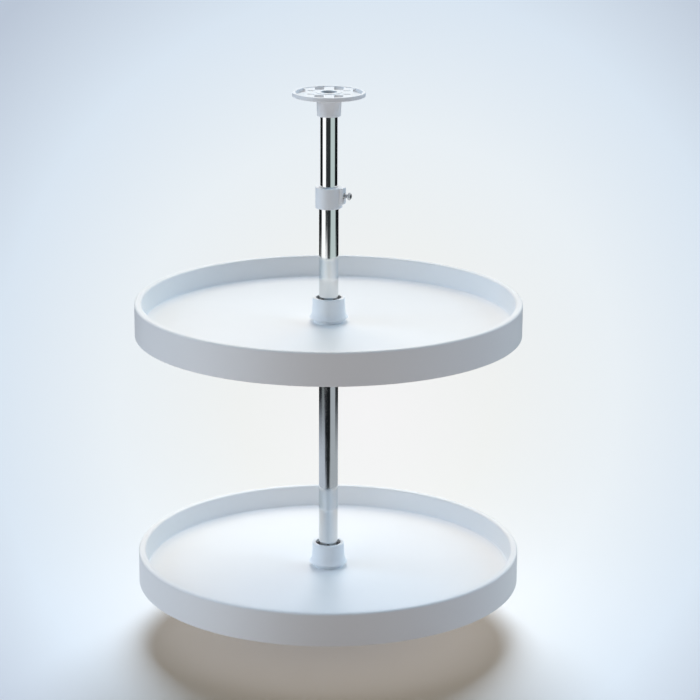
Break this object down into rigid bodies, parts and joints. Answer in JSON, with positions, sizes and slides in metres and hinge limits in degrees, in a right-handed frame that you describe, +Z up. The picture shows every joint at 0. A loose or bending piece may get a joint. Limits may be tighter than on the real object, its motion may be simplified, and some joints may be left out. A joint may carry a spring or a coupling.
{
  "type": "two-shelf lazy Susan on a telescoping post",
  "caption": "Full-round rotating pantry unit: white moulded trays that turn on a chromed telescoping post, with a lock collar and screw-on end flanges.",
  "frame": {"origin": "centre of the bottom flange's mounting face, on the cabinet floor, on the post's axis", "axes": "+Z up along the post; +X and +Y along the long and short spans of the flanges' screw slots, with the lock collar's lug 21 degrees from +X towards -Y"},
  "size_m": [0.508, 0.508, 0.7351],
  "materials": {
    "tray_white": "satin white injection-moulded polymer",
    "moulded_white": "fine white injection-moulded polymer",
    "nylon": "natural nylon",
    "chromed_tube": "bright chrome plate on steel tube",
    "plated_steel": "zinc plated",
    "brass": "turned"
  },
  "bodies": {
    "base": {"bottom_flange": "moulded_white"},
    "post": {"lower_tube": "chromed_tube", "post_foot": "nylon", "lower_support": "moulded_white", "lower_pin": "plated_steel", "lower_washer": "nylon", "upper_support": "moulded_white", "upper_pin": "plated_steel", "upper_washer": "nylon", "lock_collar": "moulded_white", "lock_insert": "brass"},
    "lower_shelf": {"lower_tray": "tray_white", "lower_hub": "moulded_white", "lower_hub_bush": "nylon"},
    "upper_shelf": {"upper_tray": "tray_white", "upper_hub": "moulded_white", "upper_hub_bush": "nylon"},
    "screw": {"lock_screw": "plated_steel"},
    "upper_post": {"upper_tube": "chromed_tube", "tube_guide": "nylon"},
    "top": {"top_flange": "moulded_white", "top_bush": "nylon"}
  },
  "joints": [
    {"name": "post_spin", "type": "hinge", "parent": "base", "child": "post", "pos_m": [0, 0, 0], "axis": [0, 0, 1], "continuous": true},
    {"name": "lower_tray_spin", "type": "hinge", "parent": "post", "child": "lower_shelf", "pos_m": [0, 0, 0.076], "axis": [0, 0, 1], "continuous": true},
    {"name": "upper_tray_spin", "type": "hinge", "parent": "post", "child": "upper_shelf", "pos_m": [0, 0, 0.416], "axis": [0, 0, 1], "continuous": true},
    {"name": "post_extend", "type": "slide", "parent": "post", "child": "upper_post", "axis": [0, 0, 1], "range_m": [-0.075, 0.052]},
    {"name": "top_flange_spin", "type": "hinge", "parent": "upper_post", "child": "top", "pos_m": [0, 0, 0.7351], "axis": [0, 0, 1], "continuous": true},
    {"name": "lock_screw_turn", "type": "hinge", "parent": "post", "child": "screw", "pos_m": [0, 0, 0.6003], "axis": [0.9336, -0.3584, 0], "range_deg": [0, 720]}
  ]
}
